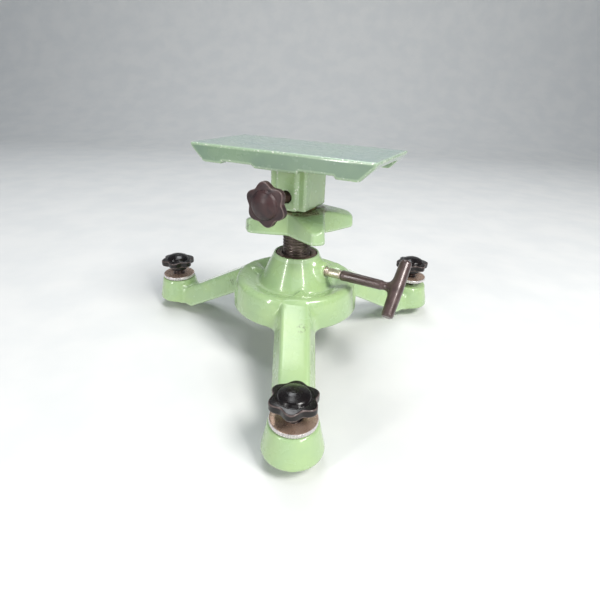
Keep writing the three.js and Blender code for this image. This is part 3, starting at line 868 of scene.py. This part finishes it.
WHEEL_TIP_HALF = 5.0
WHEEL_FALL, WHEEL_FALL_R = 0.2, 15.0  # slope of a lobe's top, and where it starts
WHEEL_DRAFT = 0.1  # how far the flanks lean in for each millimetre up
WHEEL_TIP_DRAFT = 0.06
WHEEL_UNDER_R, WHEEL_UNDER_RISE, WHEEL_UNDER_MOST = 26.0, 0.035, 0.6  # the lobes' raised undersides
BEVEL_START = 0.6  # how far below the hub's top the bevel leaves the web
BEVEL_OUT, BEVEL_ACROSS = 0.37, 0.22  # slopes of a lobe's bevel, out along it and across it
WHEEL_HUB_R = 20.0
GRUB_BORE_R = 2.8


def lobe_field(q):
    """One lobe along +X: leaning flanks, a blunt tip, and a top cut off by a slanting bevel."""
    r, side, z = q[:, 0], q[:, 1], q[:, 2]
    web_x = web_y = WHEEL_WAIST_R * cos(radians(45.0))
    run = np.array([WHEEL_TIP_R - web_x, WHEEL_TIP_HALF - web_y])
    run /= np.linalg.norm(run)
    flank = (np.abs(side) - web_y) * run[0] - (r - web_x) * run[1]
    flank = (flank + (z - WHEEL_BOTTOM_Z) * WHEEL_DRAFT) * 0.99
    top_face = (z - WHEEL_TOP_Z + np.maximum(r - WHEEL_FALL_R, 0.0) * WHEEL_FALL) * 0.98
    bevel = z - WHEEL_TOP_Z + BEVEL_START + (r - web_x) * BEVEL_OUT - (side + web_y) * BEVEL_ACROSS
    crown = common(top_face, bevel * 0.92, 0.9)
    raised = np.clip((r - WHEEL_UNDER_R) * WHEEL_UNDER_RISE, 0.0, WHEEL_UNDER_MOST)
    under = (WHEEL_BOTTOM_Z - z + raised) * 0.99
    end = (r - WHEEL_TIP_R + (z - WHEEL_BOTTOM_Z) * WHEEL_TIP_DRAFT) * 0.99
    solid = common(flank, end, 2.8)
    solid = common(solid, crown, 1.2)
    return np.maximum(common(solid, under, 2.4), -r)


def wheel_field(p):
    """Four lobes and a hub, set off the bore, with the bore and the grub screw's hole."""
    cast = p - np.array([*WHEEL_OFFSET, 0.0])
    solid = lobe_field(turned_to(cast, WHEEL_LOBE_AZIMUTH))
    for quarter in (90.0, 180.0, 270.0):
        solid = union(solid, lobe_field(turned_to(cast, WHEEL_LOBE_AZIMUTH + quarter)), 0.8)
    hub = revolved(cast, [
        [0.0, WHEEL_BOTTOM_Z], [WHEEL_HUB_R - 1.0, WHEEL_BOTTOM_Z],
        [WHEEL_HUB_R, WHEEL_BOTTOM_Z + 1.0], [WHEEL_HUB_R - 1.0, WHEEL_TOP_Z - 1.0],
        [WHEEL_HUB_R - 2.0, WHEEL_TOP_Z], [0.0, WHEEL_TOP_Z]])
    solid = union(solid, hub, 1.5)
    solid = common(solid, p[:, 2] - WHEEL_TOP_Z, 0.4)
    bore = rod(p, SCREW_R + GAP, WHEEL_BOTTOM_Z - 3.0, WHEEL_TOP_Z + 3.0)
    grub = facing(p, WHEEL_LOBE_AZIMUTH + 225.0, WHEEL_BOTTOM_Z + 6.0)
    solid = np.maximum(solid, -bore)
    return np.maximum(solid, -rod(grub, GRUB_BORE_R, SCREW_R - 1.0, WHEEL_TIP_R))


def elevation_wheel():
    reach = WHEEL_TIP_R + 5.5
    low = (-reach, -reach, WHEEL_BOTTOM_Z - 2)
    high = (reach, reach, WHEEL_TOP_Z + 2)
    piece = surface("wheel_cast", wheel_field, low, high, at(COLUMN), voxel=0.6)
    finish_piece(piece, GREEN_WHEEL, "wheel", "enamel", "elevation_wheel")


def thrust_washer():
    """A thin washer whose rim is worn ragged."""
    low, high = corners("thrust_washer")
    z0, z1 = low[2], high[2]
    outer = (high[0] - low[0]) / 2
    bore = SPIGOT_R + GAP

    def ragged(angle, z, r):
        worn = 0.12 * sin(5 * angle + 1.0) + 0.08 * sin(13 * angle) + 0.05 * sin(29 * angle + 2.0)
        return r + worn if r > SPIGOT_R + 2 else r

    profile = [[bore, z0], [outer - 0.6, z0], [outer - 0.2, z0 + 0.5], [outer - 0.2, z1 - 0.5],
               [outer - 0.6, z1], [bore, z1], [bore, z0]]
    piece = spun("thrust_ring", profile, 120, at(COLUMN), ragged)
    finish_piece(piece, WASHER_METAL, "lift", "brass", "thrust_washer")


elevation_screw()
elevation_wheel()
thrust_washer()

# ---- head casting -----------------------------------------------------------------------


def lip_outline():
    """Side view of the plate: bevelled ends, and a lip with pads between shallow reliefs."""
    low = LIP_BOTTOM_Z
    relief = low + 1.8
    half = PLATE_HALF_LENGTH
    right = [
        [16.0, low], [18.5, relief], [42.5, relief], [44.0, low], [58.0, low], [60.0, low + 0.5],
        [half - 1.3, PLATE_TOP_Z - 3.6], [half - 0.2, PLATE_TOP_Z - 1.6], [half, PLATE_TOP_Z - 0.8],
        [half - 0.3, PLATE_TOP_Z - 0.2], [half - 0.9, PLATE_TOP_Z]]
    return [[-x, z] for x, z in reversed(right)] + right


def plate_field(p):
    """The plate, with a lip along both long sides and a channel between them."""
    x, y, z = p[:, 0], p[:, 1], p[:, 2]
    plank = common(outline_distance(x - PLATE_SHIFT, z, lip_outline()), np.abs(y) - PLATE_HALF_WIDTH, 1.6)
    ceiling = PLATE_TOP_Z - PLATE_THICK
    channel = common(np.abs(y) - PLATE_HALF_WIDTH + LIP_THICK, z - ceiling, 9.0)
    return cut(plank, channel, 1.0)


def post_field(p):
    """The rectangular post, with the clamp's pad on one side."""
    x, y, z = p[:, 0], p[:, 1], p[:, 2]
    post = common(np.abs(x) - POST_HALF_LENGTH, np.abs(y) - POST_HALF_DEPTH, 1.8)
    pad = common(np.abs(x) - PAD_HALF, np.maximum(-POST_HALF_DEPTH - PAD_PROUD - y, y), 3.4)
    column = common(union(post, pad, 0.8), POST_BOTTOM_Z - z, 0.8)
    return np.maximum(column, z - (PLATE_TOP_Z - PLATE_THICK) - 1.0)


def head_field(p):
    """The plate on its post, with the spigot's bore and the clamp screw's."""
    solid = union(plate_field(p), post_field(p), 3.0)
    solid = np.maximum(solid, -rod(p, SPIGOT_R + GAP, POST_BOTTOM_Z - 3.0, SPIGOT_BORE_TOP_Z))
    clamp_bore = np.stack([p[:, 0], p[:, 2] - CLAMP_Z, -p[:, 1]], axis=1)
    return cut(solid, rod(clamp_bore, CLAMP_BORE_R, 0.0, 40.0), 0.6)


def head_casting():
    half, width = PLATE_HALF_LENGTH + 4.0, PLATE_HALF_WIDTH + 3.0
    low = (-half, -width, POST_BOTTOM_Z - 2)
    high = (half, width, PLATE_TOP_Z + 2)
    piece = surface("head_cast", head_field, low, high, at(COLUMN, HEAD_AZIMUTH), voxel=0.8)
    finish_piece(piece, GREEN_HEAD, "head", "enamel", "head_casting")


head_casting()

# ---- star knobs -------------------------------------------------------------------------

KNOB_LOBES = 6
LOBE_FULLNESS = 0.85  # below 1 makes the lobes wider than the gaps
RIM_LEAN, CROWN_LEAN = 0.72, 0.86  # turn an offset from the rim or crown into a distance
KNOB_RIM_Z = 5.2  # height of the star's underside
KNOB_HUB_OUTLINE = [[0.0, 0.0], [6.9, 0.0], [7.8, 0.9], [8.1, 4.0], [9.2, 6.0], [0.0, 6.0]]

# The knob's top from its rim inwards: a gentle slope, a small step, and the domed disc.
KNOB_CROWN = [
    [STAR_R + 1.0, 10.1], [14.4, 10.6], [12.6, 10.9], [11.3, 11.1], [10.5, 11.15], [10.1, 11.0],
    [9.8, 11.7], [9.3, 12.6], [8.6, 13.2], [7.2, 13.9], [5.2, 14.7], [3.0, 15.25], [0.0, KNOB_HEIGHT],
]


def knob_field(socket_r, socket_depth):
    """A knob standing on its hub, with a round socket in its foot."""
    crown_z = np.array([z for _, z in reversed(KNOB_CROWN)])
    crown_r = np.array([r for r, _ in reversed(KNOB_CROWN)])

    def field(p):
        r = np.hypot(p[:, 0], p[:, 1])
        angle = np.arctan2(p[:, 1], p[:, 0])
        lobe = (0.5 + 0.5 * np.cos(KNOB_LOBES * angle)) ** LOBE_FULLNESS
        rim = STAR_WAIST_R + (STAR_R - STAR_WAIST_R) * lobe
        side = (r - rim) * RIM_LEAN
        crown = (p[:, 2] - np.interp(r, crown_r, crown_z)) * CROWN_LEAN
        star = common(side, crown, 0.6)
        star = common(star, KNOB_RIM_Z - p[:, 2], 1.4)
        solid = union(star, revolved(p, KNOB_HUB_OUTLINE), 1.5)
        return np.maximum(solid, -rod(p, socket_r, -2.0, socket_depth))

    return field


def star_knob(name, matrix, body, node, socket_r, socket_depth, plastic):
    reach = STAR_R + 1.5
    low = (-reach, -reach, -1.5)
    high = (reach, reach, KNOB_HEIGHT + 1.5)
    piece = surface(name, knob_field(socket_r, socket_depth), low, high, matrix, voxel=0.4, wear=0.7)
    finish_piece(piece, plastic, body, "black_plastic", node)


def clamp_screw():
    start, end = CLAMP_SCREW_START, CLAMP_THREAD_END
    profile = (
        [[2.4, start]]
        + rings(start + 1.1, end, CLAMP_SCREW_R, 0.17)
        + [[CLAMP_SCREW_R, CLAMP_KNOB_START + 10.0]])
    thread = thread_relief(CLAMP_PITCH, CLAMP_THREAD_DEPTH, start + 0.7, end - 0.2)
    piece = spun("clamp_stud", profile, 48, pointing(CLAMP_AZIMUTH, CLAMP_Z), thread)
    finish_piece(piece, DARK_STEEL, "clamp_handle", "dark_steel", "clamp_screw")


def clamp_knob():
    out = pointing(CLAMP_AZIMUTH, CLAMP_Z) @ Matrix.Translation((0, 0, CLAMP_KNOB_START))
    turn = Matrix.Rotation(radians(CLAMP_KNOB_TURN), 4, "Z")
    star_knob("clamp_star", out @ turn, "clamp_handle", "clamp_knob", CLAMP_SCREW_R + GAP, 10.3,
              FADED_BLACK)


clamp_screw()
clamp_knob()

# ---- levelling screws, knobs and lock nuts ----------------------------------------------


def levelling_screw(side):
    """A levelling screw, rounded at its foot and threaded for its whole length."""
    screw_top = top(f"levelling_screw_{side}")
    profile = (
        [[2.4, 0.0], [3.4, 0.5], [4.0, 1.4]]
        + rings(2.0, screw_top - 0.6, LEVEL_SCREW_R, LEVEL_PITCH / 9)
        + [[3.8, screw_top]])
    thread = thread_relief(LEVEL_PITCH, LEVEL_THREAD_DEPTH, 1.0, screw_top + 2.0)
    piece = spun(f"level_stud_{side}", profile, 48, at(FOOT[side]), thread)
    finish_piece(piece, THREAD_STEEL, f"levelling_screw_{side}", "dark_steel", f"levelling_screw_{side}")


def knurled(angle, z, r):
    """Straight knurls, cut only into the nut's rim."""
    if r <= NUT_R - 0.3:
        return r
    return r - KNURL_DEPTH * abs(2.0 * ((angle * KNURLS / (2 * pi)) % 1.0) - 1.0)


def lock_nut(side):
    """A round nut with a knurled rim and chamfered edges."""
    z0, z1 = bottom(f"lock_nut_{side}"), top(f"lock_nut_{side}")
    bore = LEVEL_SCREW_R + GAP
    profile = [
        [bore, z0], [NUT_R - 1.0, z0], [NUT_R - 0.45, z0 + 0.35], [NUT_R, z0 + 0.6],
        [NUT_R, z1 - 0.75], [NUT_R - 0.32, z1 - 0.55], [NUT_R - 0.45, z1 - 0.2], [NUT_R - 1.0, z1],
        [9.0, z1], [bore + 0.8, z1], [bore, z1 - 0.8], [bore, z0]]
    piece = spun(f"nut_{side}", profile, KNURLS * 4, at(FOOT[side]), knurled)
    finish_piece(piece, NUT_STEEL, f"lock_nut_{side}", "nut_steel", f"lock_nut_{side}")


def levelling_knob(side):
    name = f"levelling_knob_{side}"
    matrix = at(FOOT[side] + np.array([0, 0, bottom(name)]), LEVEL_KNOB_TURN[side])
    star_knob(f"level_star_{side}", matrix, name, name, LEVEL_SCREW_R + GAP, 10.0, BLACK)


for side in SIDES:
    levelling_screw(side)
    lock_nut(side)
    levelling_knob(side)

# ---- nodes carried over -----------------------------------------------------------------

CARRIED = {
    "lock_plug": BRASS, "clamp_plug": BRASS, "stop_washer": DARK_STEEL, "stop_screw": DARK_STEEL,
    "wheel_grub_screw": DARK_STEEL,
}
for name, material in CARRIED.items():
    node = frame["nodes"][name]
    node.data.materials.clear()
    node.data.materials.append(material)

# ---- stage, light and camera ------------------------------------------------------------


def stage():
    """A pale floor that curves up into a backdrop far behind the object."""
    radius, rise, half, flat = 0.7, 1.6, 3.0, 1.2
    run = [(-half, 0.0), (flat, 0.0)]
    run += [(flat + radius * sin(a), radius - radius * cos(a)) for a in np.linspace(0.1, pi / 2, 14)]
    run.append((flat + radius, rise))
    points = [(x, y, z) for y, z in run for x in (-half, half)]
    faces = [(2 * k, 2 * k + 1, 2 * k + 3, 2 * k + 2) for k in range(len(run) - 1)]
    mesh = bpy.data.meshes.new("floor")
    mesh.from_pydata(points, [], faces)
    mesh.shade_smooth()
    floor = bpy.data.objects.new("floor", mesh)
    bpy.context.scene.collection.objects.link(floor)
    m = Paint("floor_paper")
    tone = m.mix(m.ramp(m.noise(60, 3), 0.3, 0.7), srgb(222, 223, 222), srgb(228, 228, 226))
    m.set(Base_Color=tone, Roughness=0.85)
    mesh.materials.append(m.material)


def area_light(name, place, target, size, power, colour):
    light = bpy.data.lights.new(name, "AREA")
    light.shape = "RECTANGLE"
    light.size, light.size_y = size
    light.energy = power
    light.color = colour
    lamp = bpy.data.objects.new(name, light)
    lamp.location = place
    lamp.rotation_euler = (Vector(target) - Vector(place)).to_track_quat("-Z", "Y").to_euler()
    bpy.context.scene.collection.objects.link(lamp)


def lighting():
    """A key light, soft fills and two strips that draw long highlights, in a dim blue room."""
    middle = (0.0, COLUMN[1] * MM, 0.08)
    area_light("key", (0.68, -0.62, 1.25), middle, (0.5, 0.5), 19.5, (1.0, 0.985, 0.96))
    area_light("front_fill", (0.25, -1.75, 0.7), middle, (1.4, 0.8), 3.5, (1.0, 0.99, 0.98))
    area_light("back_card", (-0.14, 0.72, 1.45), middle, (0.5, 0.5), 6.0, (0.95, 0.98, 1.0))
    area_light("left_strip", (-0.89, -0.77, 0.52), middle, (0.08, 0.9), 5.0, (1.0, 0.99, 0.97))
    area_light("right_strip", (0.56, -1.02, 0.44), middle, (0.07, 0.6), 3.0, (1.0, 0.99, 0.97))
    area_light("overhead", (-0.2, 0.03, 1.5), middle, (0.44, 0.5), 3.5, (0.97, 0.99, 1.0))
    world = bpy.data.worlds.new("studio")
    bpy.context.scene.world = world
    world.use_nodes = True
    sky = world.node_tree.nodes["Background"]
    sky.inputs["Color"].default_value = (0.72, 0.84, 1.0, 1.0)
    sky.inputs["Strength"].default_value = 0.2


FOCAL = 418.31 / 600.0  # focal length as a share of the square frame's side
EYE = (-3.67, -315.39, 202.91)  # from the column axis, in millimetres
YAW, PITCH, ROLL = radians(1.435), radians(27.32), radians(2.324)


def camera():
    """The photo's viewpoint: yaw from +Y, pitch down, then roll about the line of sight."""
    forward = Vector((sin(YAW) * cos(PITCH), cos(YAW) * cos(PITCH), -sin(PITCH)))
    right = Vector((cos(YAW), -sin(YAW), 0.0))
    up = right.cross(forward)
    x = right * cos(ROLL) + up * sin(ROLL)
    y = up * cos(ROLL) - right * sin(ROLL)
    data = bpy.data.cameras.new("view")
    data.sensor_width = 36.0
    data.lens = data.sensor_width * FOCAL
    data.clip_start = 0.01
    eye = bpy.data.objects.new("view", data)
    turn = Matrix((x, y, -forward)).transposed().to_4x4()
    eye.matrix_world = Matrix.Translation((Vector(COLUMN) + Vector(EYE)) * MM) @ turn
    bpy.context.scene.collection.objects.link(eye)
    bpy.context.scene.camera = eye


stage()
lighting()
camera()
bpy.context.scene.view_settings.view_transform = "Standard"
